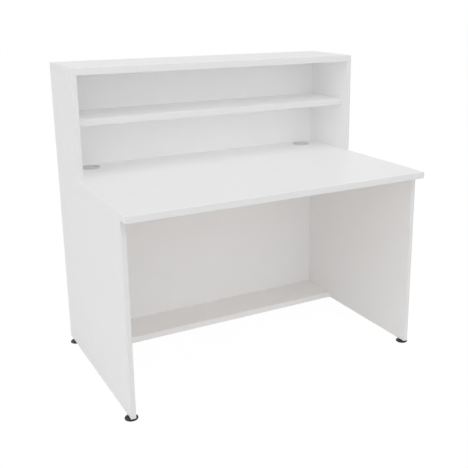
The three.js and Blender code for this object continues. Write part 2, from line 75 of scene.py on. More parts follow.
# Sizes and colours that a user would change

class DeskBoardSizes(bpy.types.PropertyGroup):
    """How the boards' edges and bores are finished"""

    strip_round: FloatProperty(
        name="Strip rounding",
        description="Radius on the free corners of the edge strips of the thick boards",
        default=2.0 * MM, min=0.2 * MM, max=4 * MM, unit="LENGTH",
    )
    panel_round: FloatProperty(
        name="Panel rounding",
        description="Radius on the upright edges of the side panels",
        default=1.0 * MM, min=0.2 * MM, max=3 * MM, unit="LENGTH",
    )
    arris: FloatProperty(
        name="Arris",
        description="Radius on every other edge, where a board meets its neighbour",
        default=0.1 * MM, min=0.05 * MM, max=1 * MM, unit="LENGTH",
    )
    seam_line: FloatProperty(
        name="Seam line",
        description="Width of the line that is left where two boards are drawn together",
        default=0.05 * MM, min=0.02 * MM, max=0.2 * MM, unit="LENGTH",
    )
    bore_gap: FloatProperty(
        name="Bore gap",
        description="Room between a fitting and the wall of its bore",
        default=0.3 * MM, min=0.05 * MM, max=1 * MM, unit="LENGTH",
    )
    port_hole: FloatProperty(
        name="Port hole",
        description="Radius of the holes through the desktop for the cable ports",
        default=30 * MM, min=20 * MM, max=30 * MM, unit="LENGTH",
    )


class DeskFittingSizes(bpy.types.PropertyGroup):
    """How the fittings are shaped inside the room that the frame gives them"""

    stud_pitch: FloatProperty(
        name="Stud pitch", description="Rise of the levelling studs' thread in one turn",
        default=1.25 * MM, min=0.5 * MM, max=2 * MM, unit="LENGTH",
    )
    bolt_pitch: FloatProperty(
        name="Bolt pitch", description="Rise of the cam bolts' coarse thread in one turn",
        default=1.8 * MM, min=1 * MM, max=3 * MM, unit="LENGTH",
    )
    notch_width: FloatProperty(
        name="Notch width", description="Width of the cable notch in a port's cap",
        default=18 * MM, min=10 * MM, max=24 * MM, unit="LENGTH",
    )
    notch_reach: FloatProperty(
        name="Notch reach", description="How far the cable notch runs in from the cap's rim",
        default=11 * MM, min=10 * MM, max=24 * MM, unit="LENGTH",
    )
    notch_angle: FloatProperty(
        name="Notch angle", description="Where the caps' notches point, turned from the desk's long axis",
        default=0.0, subtype="ANGLE",
    )
    dowel_flutes: IntProperty(
        name="Dowel flutes", description="Glue grooves round a dowel", default=14, min=6, max=24,
    )


class DeskColours(bpy.types.PropertyGroup):
    """The finishes' base colours"""

    facing: FloatVectorProperty(
        name="Board facing", description="White melamine of the boards' faces",
        default=(0.91, 0.91, 0.913), **COLOUR,
    )
    # The edging's grey is partly its own plastic and partly painted shade: darker than the facing, it
    # stands for the shade on the faces turned to the user.
    strip: FloatVectorProperty(
        name="Edge strip", description="White plastic strip round the boards' edges",
        default=(0.76, 0.76, 0.76), **COLOUR,
    )
    backing: FloatVectorProperty(
        name="Backing sheet", description="Cream sheet on the desktop's underside",
        default=(0.81, 0.755, 0.705), **COLOUR,
    )
    core: FloatVectorProperty(
        name="Board core", description="Bare chipboard inside the bores",
        default=(0.42, 0.29, 0.17), **COLOUR,
    )
    grey_plastic: FloatVectorProperty(
        name="Port plastic", description="Grey plastic of the cable ports",
        default=(0.635, 0.635, 0.63), **COLOUR,
    )
    black_plastic: FloatVectorProperty(
        name="Foot plastic", description="Black plastic of the levelling feet",
        default=(0.018, 0.018, 0.018), **COLOUR,
    )
    zinc: FloatVectorProperty(
        name="Cast zinc", description="Dull zinc of the cam drums and inserts",
        default=(0.46, 0.47, 0.48), **COLOUR,
    )
    steel: FloatVectorProperty(
        name="Plated steel", description="Bright plate on the bolts and studs",
        default=(0.62, 0.63, 0.65), **COLOUR,
    )
    beech: FloatVectorProperty(
        name="Beech", description="Bare wood of the dowels",
        default=(0.60, 0.42, 0.23), **COLOUR,
    )


class DeskStageSettings(bpy.types.PropertyGroup):
    """The camera, the floor and the light"""

    camera_place: FloatVectorProperty(
        name="Camera place", description="Where the camera stands",
        default=(-1.29274, -2.51166, 1.39302), size=3, subtype="XYZ", unit="LENGTH",
    )
    camera_turn: FloatProperty(
        name="Camera turn", description="How far the camera looks to the right of straight ahead",
        default=math.radians(30.078), subtype="ANGLE",
    )
    camera_dip: FloatProperty(
        name="Camera dip", description="How far the camera looks down",
        default=math.radians(15.4217), subtype="ANGLE",
    )
    lens: FloatProperty(
        name="Lens", description="Focal length on a 36 mm wide sensor",
        default=56.889, min=10, max=200, unit="CAMERA",
    )
    shift_x: FloatProperty(name="Shift X", description="Sideways framing shift", default=-0.08593)
    shift_y: FloatProperty(name="Shift Y", description="Upward framing shift", default=-0.0722)
    floor: FloatVectorProperty(
        name="Floor", description="Colour that the floor throws back on the desk",
        default=(0.92, 0.92, 0.92), **COLOUR,
    )
    floor_glow: FloatProperty(
        name="Floor glow", description="Brightness of the floor where the camera or a mirror sees it",
        default=1.03, min=0, max=2,
    )
    floor_white: FloatProperty(
        name="Floor white", description="Share of that glow in the seen floor, the rest being shaded floor",
        default=0.92, min=0, max=1, subtype="FACTOR",
    )
    light_sides: FloatVectorProperty(
        name="Side light", description="Strength of the even light from the left and from the right",
        default=(0.3, 0.35), size=2, min=0, max=2,
    )
    light_ends: FloatVectorProperty(
        name="Front and back light", description="Strength of the even light from the user and the visitor",
        default=(1.32, 0.35), size=2, min=0, max=2,
    )
    light_above: FloatProperty(
        name="Top light", description="Strength of the even light from above", default=0.775, min=0, max=2,
    )
    softboxes: FloatVectorProperty(
        name="Softboxes", description="Power of the soft lamps: left, user's side, above, visitor's side",
        default=(29, 14, 17, 45), size=4, min=0, max=200,
    )


# Picking and shaping, as by hand

def deselect():
    """Leave edit mode and select nothing."""
    if bpy.context.mode != "OBJECT":
        bpy.ops.object.mode_set(mode="OBJECT")
    bpy.ops.object.select_all(action="DESELECT")


def take(piece):
    """Make one piece the only selected one, and the active one."""
    deselect()
    piece.select_set(True)
    bpy.context.view_layer.objects.active = piece


@contextmanager
def editing(piece, element):
    """Edit one piece's vertices, edges or faces, with none selected at first."""
    take(piece)
    bpy.ops.object.mode_set(mode="EDIT")
    bpy.ops.mesh.select_mode(type=element)
    bpy.ops.mesh.select_all(action="DESELECT")
    yield
    bpy.ops.object.mode_set(mode="OBJECT")


def pick_faces(piece, test):
    """Select the faces whose middle and normal pass a test."""
    bpy.ops.mesh.select_all(action="DESELECT")
    for face in bmesh.from_edit_mesh(piece.data).faces:
        if test(face.calc_center_median(), face.normal):
            face.select_set(True)
    bmesh.update_edit_mesh(piece.data)


def pick_edges(piece, test):
    """Select the edges whose two ends pass a test."""
    bpy.ops.mesh.select_all(action="DESELECT")
    for edge in bmesh.from_edit_mesh(piece.data).edges:
        if test(edge.verts[0].co, edge.verts[1].co):
            edge.select_set(True)
    bmesh.update_edit_mesh(piece.data)


def settle(name):
    """Put the new piece's place, turn and size into its mesh, and name it."""
    bpy.ops.object.transform_apply(location=True, rotation=True, scale=True)
    bpy.context.object.name = name
    return bpy.context.object


def discard(*pieces):
    """Throw away masters and tools that have done their work."""
    for piece in pieces:
        bpy.data.objects.remove(piece)


def add_block(name, low, high):
    """A block between two opposite corners."""
    deselect()
    low, high = Vector(low), Vector(high)
    bpy.ops.mesh.primitive_cube_add(size=1, location=(low + high) / 2, scale=high - low)
    return settle(name)


def add_bar(name, radius, start, end, sides=32):
    """A round bar between two points."""
    deselect()
    start, end = Vector(start), Vector(end)
    turn = Z.rotation_difference(end - start).to_euler()
    bpy.ops.mesh.primitive_cylinder_add(
        vertices=sides, radius=radius, depth=(end - start).length,
        location=(start + end) / 2, rotation=turn,
    )
    return settle(name)


def add_line(name, points, closed):
    """A line of edges drawn from point to point."""
    deselect()
    bpy.ops.mesh.primitive_plane_add(size=MM)
    piece = bpy.context.object
    piece.name = name
    with editing(piece, "VERT"):
        bpy.ops.mesh.select_all(action="SELECT")
        bpy.ops.mesh.merge(type="CENTER")
        bpy.ops.mesh.select_all(action="SELECT")
        bpy.ops.transform.translate(value=points[0])
        for before, after in zip(points, points[1:]):
            step = Vector(after) - Vector(before)
            bpy.ops.mesh.extrude_vertices_move(TRANSFORM_OT_translate={"value": step})
        if closed:
            shape = bmesh.from_edit_mesh(piece.data)
            for corner in shape.verts:
                corner.select_set(len(corner.link_edges) == 1)
            bmesh.update_edit_mesh(piece.data)
            bpy.ops.mesh.edge_face_add()
    return piece


def tidy_mesh(piece):
    """Merge doubled vertices and turn every face outwards."""
    with editing(piece, "VERT"):
        bpy.ops.mesh.select_all(action="SELECT")
        bpy.ops.mesh.remove_doubles(threshold=1e-6)
        bpy.ops.mesh.normals_make_consistent(inside=False)


def shape_by(piece, kind, **settings):
    """Put one modifier on a piece, set it up and apply it."""
    take(piece)
    bpy.ops.object.modifier_add(type=kind)
    modifier = piece.modifiers[-1]
    for name, value in settings.items():
        setattr(modifier, name, value)
    bpy.ops.object.modifier_apply(modifier=modifier.name)


def add_turned(name, profile, steps, closed=False):
    """A turned solid about Z, from (radius, height) points in millimetres."""
    points = [Vector((radius, 0, height)) * MM for radius, height in profile]
    piece = add_line(name, points, closed)
    with editing(piece, "VERT"):
        bpy.ops.mesh.select_all(action="SELECT")
        bpy.ops.mesh.spin(steps=steps, angle=2 * math.pi, center=(0, 0, 0), axis=(0, 0, 1))
    tidy_mesh(piece)
    return piece


def arc(centre, radius, start, end, steps):
    """Points of an arc, its angles in degrees."""
    angles = [math.radians(start + (end - start) * i / steps) for i in range(steps + 1)]
    return [(centre[0] + radius * math.cos(a), centre[1] + radius * math.sin(a)) for a in angles]


def add_thread(name, root, crest, pitch, start, end, steps=20):
    """The ridge of a screw thread about Z, from one height to another, in millimetres."""
    foot = 0.8 * pitch
    low = Vector((root, 0, start))
    profile = [low, low + Vector((0, 0, foot)), Vector((crest, 0, start + foot / 2))]
    ridge = add_line(name, [point * MM for point in profile], closed=True)
    turns = int((end - start) / pitch)
    shape_by(ridge, "SCREW", screw_offset=pitch * MM, iterations=turns, steps=steps, render_steps=steps)
    with editing(ridge, "VERT"):
        bpy.ops.mesh.select_all(action="SELECT")
        bpy.ops.mesh.fill_holes(sides=3)
    tidy_mesh(ridge)
    return ridge


def combine(piece, tool, operation, keep_tool_finish=False):
    """Cut, join or trim a piece by a tool, which is used up."""
    finish = "TRANSFER" if keep_tool_finish else "INDEX"
    shape_by(piece, "BOOLEAN", operation=operation, solver="EXACT", material_mode=finish, object=tool)
    discard(tool)


def join(piece, *others):
    """Make several pieces one."""
    take(piece)
    for other in others:
        other.select_set(True)
    bpy.ops.object.join()
    return piece


def round_edges(piece, radius_of, segments=3):
    """Round a piece's edges, each by the radius that its two ends call for."""
    wanted = {radius_of(*(piece.data.vertices[i].co for i in edge.vertices)) for edge in piece.data.edges}
    widest = max(wanted)
    with editing(piece, "EDGE"):
        for radius in wanted:
            pick_edges(piece, lambda a, b: radius_of(a, b) == radius)
            bpy.ops.transform.edge_bevelweight(value=radius / widest)
    shape_by(piece, "BEVEL", limit_method="WEIGHT", width=widest, segments=segments)


def soften(piece, width, segments=2, angle=35):
    """Round every edge that is sharper than an angle."""
    limit = math.radians(angle)
    shape_by(piece, "BEVEL", limit_method="ANGLE", angle_limit=limit, width=width, segments=segments)


def smooth(piece, angle=40):
    """Shade smoothly across shallow angles, and keep the flat faces flat."""
    take(piece)
    bpy.ops.object.shade_smooth_by_angle(angle=math.radians(angle))
    shape_by(piece, "WEIGHTED_NORMAL", keep_sharp=True)


def seat(piece, node, body):
    """Let a finished piece stand for its CAD node."""
    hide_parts(node)
    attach(piece, body)


def copy_to(master, name, place):
    """A copy of a master piece with its own mesh, moved to its place."""
    copy = master.copy()
    copy.data = master.data.copy()
    copy.data.transform(place)
    copy.name = name
    bpy.context.scene.collection.objects.link(copy)
    return copy


def same_place(a, b, axis):
    """Whether two points lie equally far along an axis."""
    return abs(a[axis] - b[axis]) < SAME


# Finishes

CLOUD_RANGE = (0.3, 0.7)  # the part of a noise that its values really fill


def feed(tree, socket, value):
    """Lead another node's output to a socket, or set it to a plain value."""
    if isinstance(value, bpy.types.NodeSocket):
        tree.links.new(value, socket)
    else:
        socket.default_value = value


def add_node(tree, kind, **values):
    """A new shader node, its inputs fed by name with _ for each space."""
    node = tree.nodes.new(f"ShaderNode{kind}")
    for name, value in values.items():
        feed(tree, node.inputs[name.replace("_", " ")], value)
    return node


def start_finish(name, shine=0.5):
    """A new material with its node tree and shader, and the coordinates of the piece."""
    finish = bpy.data.materials.new(name)
    finish.use_nodes = True
    tree = finish.node_tree
    shader = tree.nodes["Principled BSDF"]
    shader.inputs["Specular IOR Level"].default_value = shine
    place = add_node(tree, "TexCoord").outputs["Object"]
    return finish, tree, shader, place


def noise(tree, place, scale, detail=2.0, stretch=(1, 1, 1)):
    """Clouds of a given count to the metre, drawn out along an axis if wanted."""
    drawn = add_node(tree, "Mapping", Vector=place, Scale=stretch).outputs["Vector"]
    return add_node(tree, "TexNoise", Vector=drawn, Scale=scale, Detail=detail).outputs["Fac"]


def vary_colour(tree, shader, pattern, colour, low, high):
    """Base colour between two shades of one colour."""
    ramp = add_node(tree, "ValToRGB", Fac=pattern)
    for stop, position, share in zip(ramp.color_ramp.elements, CLOUD_RANGE, (low, high)):
        stop.position = position
        stop.color = (*(min(1.0, part * share) for part in colour), 1)
    tree.links.new(ramp.outputs["Color"], shader.inputs["Base Color"])


def vary_roughness(tree, shader, pattern, low, high):
    """Roughness between two values."""
    least, most = CLOUD_RANGE
    ends = {"From_Min": least, "From_Max": most, "To_Min": low, "To_Max": high}
    spread = add_node(tree, "MapRange", Value=pattern, **ends)
    tree.links.new(spread.outputs["Result"], shader.inputs["Roughness"])


def add_bump(tree, shader, pattern, strength, depth):
    """A fine relief on the surface."""
    bump = add_node(tree, "Bump", Height=pattern, Strength=strength, Distance=depth)
    tree.links.new(bump.outputs["Normal"], shader.inputs["Normal"])


def board_facing(name, colour):
    """Satin melamine: faint clouding, and the fine pearl that the press leaves."""
    finish, tree, shader, place = start_finish(name, shine=0.2)
    vary_colour(tree, shader, noise(tree, place, 14, 4), colour, 0.994, 1.004)
    vary_roughness(tree, shader, noise(tree, place, 160), 0.42, 0.52)
    add_bump(tree, shader, noise(tree, place, 1300, 3), 0.12, 0.05 * MM)
    return finish


def backing_sheet(name, colour):
    """Resin-soaked backing paper: mottled, and duller than the facing."""
    finish, tree, shader, place = start_finish(name, shine=0.2)
    vary_colour(tree, shader, noise(tree, place, 45, 6), colour, 0.95, 1.04)
    vary_roughness(tree, shader, noise(tree, place, 200), 0.6, 0.75)
    add_bump(tree, shader, noise(tree, place, 900, 3), 0.15, 0.05 * MM)
    return finish


def edge_strip_and_shade(name, colour):
    """Plastic edging, its grey partly painted shade for the faces turned to the user: smoother than the
    facing, with a faint ripple from its trimming.
    """
    finish, tree, shader, place = start_finish(name, shine=0.25)
    vary_colour(tree, shader, noise(tree, place, 30), colour, 0.99, 1.005)
    vary_roughness(tree, shader, noise(tree, place, 90), 0.36, 0.44)
    add_bump(tree, shader, noise(tree, place, 420), 0.08, 0.05 * MM)
    return finish


def board_core(name, colour):
    """Bare chipboard: pressed flakes of several browns."""
    finish, tree, shader, place = start_finish(name)
    flakes = add_node(tree, "TexVoronoi", Vector=place, Scale=700)
    vary_colour(tree, shader, flakes.outputs["Color"], colour, 0.6, 1.25)
    add_bump(tree, shader, flakes.outputs["Distance"], 0.5, 0.3 * MM)
    shader.inputs["Roughness"].default_value = 0.9
    return finish


def moulded_plastic(name, colour, low, high):
    """Moulded plastic: an even spark-eroded grain."""
    finish, tree, shader, place = start_finish(name)
    vary_colour(tree, shader, noise(tree, place, 60, 3), colour, 0.93, 1.06)
    vary_roughness(tree, shader, noise(tree, place, 240), low, high)
    add_bump(tree, shader, noise(tree, place, 2600, 1), 0.25, 0.05 * MM)
    return finish


def worked_metal(name, colour, low, high, grain):
    """Cast or plated metal: clouded gloss and a fine grain."""
    finish, tree, shader, place = start_finish(name)
    vary_colour(tree, shader, noise(tree, place, 180, 4), colour, 0.88, 1.06)
    vary_roughness(tree, shader, noise(tree, place, 420, 3), low, high)
    add_bump(tree, shader, noise(tree, place, 3000), grain, 0.03 * MM)
    shader.inputs["Metallic"].default_value = 1.0
    return finish


def beech_wood(name, colour, along):
    """Bare beech: short dark flecks drawn out along the grain."""
    finish, tree, shader, place = start_finish(name)
    stretch = [0.12 if part else 1 for part in along]
    vary_colour(tree, shader, noise(tree, place, 1500, 3, stretch), colour, 0.72, 1.12)
    vary_roughness(tree, shader, noise(tree, place, 500), 0.62, 0.78)
    add_bump(tree, shader, noise(tree, place, 2200, 2, stretch), 0.3, 0.05 * MM)
    return finish


def finish_named(name, make, *values):
    """A finish that is made once and shared."""
    return bpy.data.materials.get(name) or make(name, *values)


def cast_zinc(colours):
    """The dull skin of drums and inserts."""
    return finish_named("cast_zinc", worked_metal, colours.zinc, 0.38, 0.52, 0.3)


def plated_steel(colours):
    """The bright plate of bolts and studs."""
    return finish_named("plated_steel", worked_metal, colours.steel, 0.22, 0.34, 0.15)


# Where the fittings are

CamPlace = namedtuple("CamPlace", "board side spot matrix inset floor face")


def box_middle(node):
    """The middle of a node's box."""
    low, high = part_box(node)
    return (low + high) / 2


def board_seam():
    """The hair-line between boards that meet."""
    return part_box("counter_top")[0].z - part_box("left_side_panel")[1].z


def drawn_up(sizes):
    """How far a board's end reaches past its CAD end, drawn up to its neighbour by the cams."""
    return board_seam() - sizes.seam_line


def drawn_box(node, low_ends, high_ends, sizes):
    """A board's box, drawn up to its neighbours at the given ends."""
    low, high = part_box(node)
    return low - low_ends * drawn_up(sizes), high + high_ends * drawn_up(sizes)


def leg_top():
    """The height of the side panels' edge under the desktop."""
    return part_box("desktop")[0].z - board_seam()


def cam_places():
    """Every cam fitting, with the matrix of its own frame: X along the bolt, Z out of the drum's face."""
    places = []
    for node in sorted(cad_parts):
        if "_cam_" not in node:
            continue
        board, spot = node.split("_cam_")
        side = spot.split("_")[0]
        sign = dict(SIDES)[side]
        drum = box_middle(node)
        bolt = box_middle(f"{board}_bolt_{spot}")
        if board == "desktop":
            along, facing = Z, -sign * X
            origin = Vector((bolt.x, bolt.y, leg_top()))
        else:
            along, facing = sign * X, -Z
            origin = Vector((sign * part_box(board)[1].x, bolt.y, bolt.z))
        axes = Matrix((along, facing.cross(along), facing)).transposed()
        low, high = (abs((corner - origin).dot(facing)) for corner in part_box(node))
        face, floor = max(low, high), min(low, high)
        inset = (origin - drum).dot(along)
        matrix = Matrix.Translation(origin) @ axes.to_4x4()
        places.append(CamPlace(board, side, spot, matrix, inset, floor, face))
    return places


def dowel_axis(node):
    """The direction that a dowel runs in."""
    low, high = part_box(node)
    size = high - low
    return max((X, Y, Z), key=lambda axis: axis.dot(size))


def dowel_bores(nodes, gap):
    """Bores round the dowels: (radius, start, end)."""
    bores = []
    for node in nodes:
        low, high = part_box(node)
        axis = dowel_axis(node)
        half = axis * ((high - low).dot(axis) / 2 + gap)
        radius = min(high - low) / 2 + gap
        middle = (low + high) / 2
        bores.append((radius, middle - half, middle + half))
    return bores


def nodes_with(*words):
    """The nodes whose names hold all of the words, in order."""
    return [node for node in sorted(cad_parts) if all(word in node for word in words)]


# Boards

def draw_out(piece, cuts, along, test, reach):
    """Score a block across at some points, and draw out the faces that pass a test."""
    with editing(piece, "FACE"):
        for cut in cuts:
            bpy.ops.mesh.select_all(action="SELECT")
            bpy.ops.mesh.bisect(plane_co=cut * along, plane_no=along)
        pick_faces(piece, test)
        bpy.ops.mesh.extrude_region_move(TRANSFORM_OT_translate={"value": reach})
        bpy.ops.mesh.select_all(action="SELECT")
        bpy.ops.mesh.dissolve_limited(angle_limit=FLAT_ANGLE)


def cover(board, finish, way, least):
    """Lay a finish on the faces that a board turns one way."""
    board.data.materials.append(finish)
    for face in board.data.polygons:
        if face.normal.dot(way) > least:
            face.material_index = len(board.data.materials) - 1


def drill(board, bores, colours):
    """Sink bores, whose walls show the core, into a board."""
    core = finish_named("chipboard_core", board_core, colours.core)
    for radius, start, end in bores:
        bit = add_bar("bit", radius, start, end)
        bit.data.materials.append(core)
        combine(board, bit, "DIFFERENCE", keep_tool_finish=True)


def finish_board(board, node, radius_of, bores, colours, strip=True, backing=False):
    """Round a board's edges, dress it, sink its bores and let it stand for its CAD node."""
    round_edges(board, radius_of)
    board.data.materials.append(finish_named("white_facing", board_facing, colours.facing))
    # Faces turned to the user get the grey edging, which is partly painted shade.
    if strip:
        cover(board, finish_named("white_edge_strip", edge_strip_and_shade, colours.strip), -Y, ROUNDED_TO)
    if backing:
        cover(board, finish_named("cream_backing", backing_sheet, colours.backing), -Z, STRAIGHT_ON)
    drill(board, bores, colours)
    smooth(board)
    seat(board, node, "desk")


def drum_bores(place, gap):
    """Bores for a cam's drum and for its bolt's shaft, in the drum's board."""
    low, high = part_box(f"{place.board}_bolt_{place.spot}")
    shaft = min(high - low) / 2 + gap
    drum = place.matrix @ Vector((-place.inset, 0, 0))
    facing = place.matrix.to_3x3() @ Z
    along = place.matrix.to_3x3() @ X
    return [
        (DRUM_RADIUS + gap, drum - facing * (place.floor + gap), drum + facing * (place.face + OVERRUN)),
        (shaft, drum, drum + along * (place.inset + OVERRUN)),
    ]


def bolt_bore(place, gap):
    """Bore for a cam bolt's thread, in the neighbouring board."""
    low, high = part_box(f"{place.board}_bolt_{place.spot}")
    along = place.matrix.to_3x3() @ X
    joint = place.matrix.to_translation()
    reach = max((corner - joint).dot(along) for corner in (low, high))
    return (BOLT_THREAD_RADIUS + gap, joint - along * OVERRUN, joint + along * (reach + 2 * gap))


class DESK_OT_side_panels(bpy.types.Operator):
    """Build both side panels, each with its leg and riser side in one L-shaped board"""

    bl_idname = "desk.side_panels"
    bl_label = "Side Panels"

    def execute(self, context):
        sizes, colours = context.scene.desk_boards, context.scene.desk_colours
        riser_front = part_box("counter_top")[0].y
        for side, sign in SIDES:
            low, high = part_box(f"{side}_side_panel")
            step = leg_top()
            panel = add_block(f"{side}_end_board", low, (high.x, high.y, step))

            def under_riser(at, normal):
                return normal.z > SQUARE_ON and at.y > riser_front

            def radius_of(a, b):
                upright = same_place(a, b, 0) and same_place(a, b, 1)
                at_front = a.y < riser_front + NEAR
                outer = sign * a.x > sign * (low.x + high.x) / 2
                outer_back = outer and a.y > high.y - NEAR
                return sizes.panel_round if upright and (at_front or outer_back) else sizes.arris

            draw_out(panel, [riser_front], Y, under_riser, (high.z - step) * Z)
            bores = self.bores(side, sizes.bore_gap)
            finish_board(panel, f"{side}_side_panel", radius_of, bores, colours)
        return {"FINISHED"}

    def bores(self, side, gap):
        """Bores for one side's dowels, cams, bolts and feet."""
        bores = dowel_bores(nodes_with("counter_dowel", side) + nodes_with("back_dowel", side), gap)
        for place in cam_places():
            if place.side == side:
                bores += drum_bores(place, gap) if place.board == "desktop" else [bolt_bore(place, gap)]
        for node in nodes_with("foot_insert", side):
            (base, top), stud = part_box(node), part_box(node.replace("insert", "stud"))
            at = (base + top) / 2
            radius = (top - base).x / 2 + gap
            bores.append((radius, (at.x, at.y, base.z - OVERRUN), (at.x, at.y, top.z + gap)))
            bores.append((STUD_RADIUS + gap, at, (at.x, at.y, stud[1].z + 2 * OVERRUN)))
        return bores


class DESK_OT_desktop(bpy.types.Operator):
    """Build the desktop, notched at its rear corners and holed for the cable ports"""

    bl_idname = "desk.desktop"
    bl_label = "Desktop"

    def execute(self, context):
        sizes, colours = context.scene.desk_boards, context.scene.desk_colours
        low, high = drawn_box("desktop", Vector(), Y, sizes)
        ear_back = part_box("counter_top")[0].y - sizes.seam_line
        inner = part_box("back_panel")[1].x + drawn_up(sizes)
        board = add_block("desktop_board", low, (high.x, ear_back, high.z))

        def between_sides(at, normal):
            return normal.y > SQUARE_ON and abs(at.x) < inner

        def radius_of(a, b):
            at_front = a.y < low.y + NEAR and b.y < low.y + NEAR
            at_side = abs(a.x) > high.x - NEAR and same_place(a, b, 0)
            above = a.z > high.z - NEAR and b.z > high.z - NEAR
            return sizes.strip_round if at_front or (at_side and above) else sizes.arris

        draw_out(board, [-inner, inner], X, between_sides, (high.y - ear_back) * Y)
        bores = dowel_bores(nodes_with("desktop_dowel"), sizes.bore_gap)
        bores += [bolt_bore(place, sizes.bore_gap) for place in cam_places() if place.board == "desktop"]
        for node in nodes_with("port_sleeve"):
            at = box_middle(node)
            below, over = low.z - OVERRUN, high.z + OVERRUN
            bores.append((sizes.port_hole, (at.x, at.y, below), (at.x, at.y, over)))
        finish_board(board, "desktop", radius_of, bores, colours, backing=True)
        return {"FINISHED"}


class DESK_OT_counter_top(bpy.types.Operator):
    """Build the counter top, with rounded upper corners"""

    bl_idname = "desk.counter_top"
    bl_label = "Counter Top"

    def execute(self, context):
        sizes, colours = context.scene.desk_boards, context.scene.desk_colours
        low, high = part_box("counter_top")
        board = add_block("counter_board", low, high)

        def radius_of(a, b):
            if same_place(a, b, 0) and same_place(a, b, 1):
                return sizes.panel_round
            return sizes.strip_round if a.z > high.z - NEAR else sizes.arris

        bores = dowel_bores(nodes_with("counter_dowel"), sizes.bore_gap)
        finish_board(board, "counter_top", radius_of, bores, colours)
        return {"FINISHED"}


class DESK_OT_shelves(bpy.types.Operator):
    """Build the riser shelf and the base shelf, with rounded front corners"""

    bl_idname = "desk.shelves"
    bl_label = "Shelves"

    def execute(self, context):
        sizes, colours = context.scene.desk_boards, context.scene.desk_colours
        for node in ("riser_shelf", "base_shelf"):
            low, high = drawn_box(node, X, X + Y, sizes)
            board = add_block(f"{node}_board", low, high)

            def radius_of(a, b):
                along_front = a.y < low.y + NEAR and b.y < low.y + NEAR and same_place(a, b, 2)
                return sizes.strip_round if along_front else sizes.arris

            places = [place for place in cam_places() if place.board == node]
            bores = [bore for place in places for bore in drum_bores(place, sizes.bore_gap)]
            # Only the riser shelf gets the grey edging with its painted shade; the base shelf's front keeps
            # the white facing.
            finish_board(board, node, radius_of, bores, colours, strip=node == "riser_shelf")
        return {"FINISHED"}


class DESK_OT_back_panel(bpy.types.Operator):
    """Build the full-height panel towards the visitor"""

    bl_idname = "desk.back_panel"
    bl_label = "Back Panel"

    def execute(self, context):
        sizes, colours = context.scene.desk_boards, context.scene.desk_colours
        board = add_block("visitor_board", *drawn_box("back_panel", X, X + Z, sizes))
        dowels = nodes_with("back_dowel") + nodes_with("desktop_dowel")
        bores = dowel_bores(dowels, sizes.bore_gap)
        finish_board(board, "back_panel", lambda a, b: sizes.arris, bores, colours, strip=False)
        return {"FINISHED"}


# Fittings

class DESK_OT_cable_ports(bpy.types.Operator):
    """Build the cable ports: a flanged sleeve and a notched cap that turns in it"""

    bl_idname = "desk.cable_ports"
    bl_label = "Cable Ports"

    def execute(self, context):
        sizes, colours = context.scene.desk_fittings, context.scene.desk_colours
        grey = finish_named("grey_port_plastic", moulded_plastic, colours.grey_plastic, 0.42, 0.55)
        sleeve = self.sleeve()
        cap = self.cap(sizes)
        for master in (sleeve, cap):
            master.data.materials.append(grey)
        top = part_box("desktop")[1].z
        for side, _ in SIDES:
            at = box_middle(f"port_sleeve_{side}")
            place = Matrix.Translation((at.x, at.y, top))
            ring = copy_to(sleeve, f"{side}_port_ring", place)
            seat(ring, f"port_sleeve_{side}", "desk")
            turned = place @ Matrix.Rotation(sizes.notch_angle, 4, "Z")
            lid = copy_to(cap, f"{side}_port_lid", turned)
            seat(lid, f"port_cap_{side}", f"cap_{side}")
        discard(sleeve, cap)
        return {"FINISHED"}

    def sleeve(self):
        """The sleeve about Z, in millimetres, with the desktop's surface at height 0."""
        profile = [(25.4, -1.7), (28.1, -1.7), (28.1, -19.6), (28.5, -20), (29.2, -20), (29.7, -18.6)]
        profile += [(29.7, 0.2), (37.5, 0.2), *arc((36.1, 1.0), 1.4, 0, 90, 5), (31.4, 2.4)]
        profile += [(31.1, 2.15), (30.7, 2.15), (30.4, 2.4), (28.5, 2.4), (28.1, 2.1)]
        profile += [(28.1, -0.1), (25.4, -0.1)]
        ring = add_turned("port_ring", profile, steps=96, closed=True)
        smooth(ring, angle=50)
        return ring

    def notched_disc(self, rim, half, centre):
        """Outline of a disc with a notch towards X, round-ended about a centre, in millimetres."""
        flank = math.sqrt(rim ** 2 - half ** 2)
        corner = flank if centre <= flank else (flank ** 2 + centre ** 2) / (2 * centre)
        height = math.sqrt(rim ** 2 - corner ** 2)
        opening = math.degrees(math.atan2(height, corner))
        swing = math.degrees(math.atan2(height, min(corner - centre, 0)))
        disc = arc((0, 0), rim, opening, 360 - opening, 88)
        notch = arc((centre, 0), half, -swing, swing - 360, 20)
        return disc + notch[1:-1]

    def slab(self, name, outline, base, height, taper):
        """A slab from an outline at one height to the same outline, drawn in, at another."""
        slab = add_line(name, [Vector((x, y, base)) * MM for x, y in outline], closed=True)
        with editing(slab, "EDGE"):
            bpy.ops.mesh.select_all(action="SELECT")
            bpy.ops.mesh.edge_face_add()
            bpy.ops.mesh.select_mode(type="FACE")
            bpy.ops.mesh.select_all(action="SELECT")
            bpy.ops.mesh.extrude_region_move(TRANSFORM_OT_translate={"value": (0, 0, height * MM)})
            bpy.ops.transform.resize(value=(taper, taper, 1), center_override=(0, 0, 0))
        tidy_mesh(slab)
        return slab

    def cap(self, sizes):
        """The cap about Z: a notched disc with a raised border round a sunk field."""
        rim, border, underside, thickness = 27.8, 2.4, 0.2, 2.2
        sunk, clear, draught, rounding = 0.35, 0.2, 0.98, 0.35
        half = sizes.notch_width / MM / 2
        centre = rim - sizes.notch_reach / MM + half
        lid = self.slab("port_lid", self.notched_disc(rim, half, centre), underside, thickness, 1)
        field = self.notched_disc(rim - border, half + border, centre)
        mouth = underside + thickness + clear
        combine(lid, self.slab("sunk_field", field, mouth, -clear - sunk, draught), "DIFFERENCE")
        soften(lid, rounding * MM, angle=60)
        smooth(lid)
        return lid


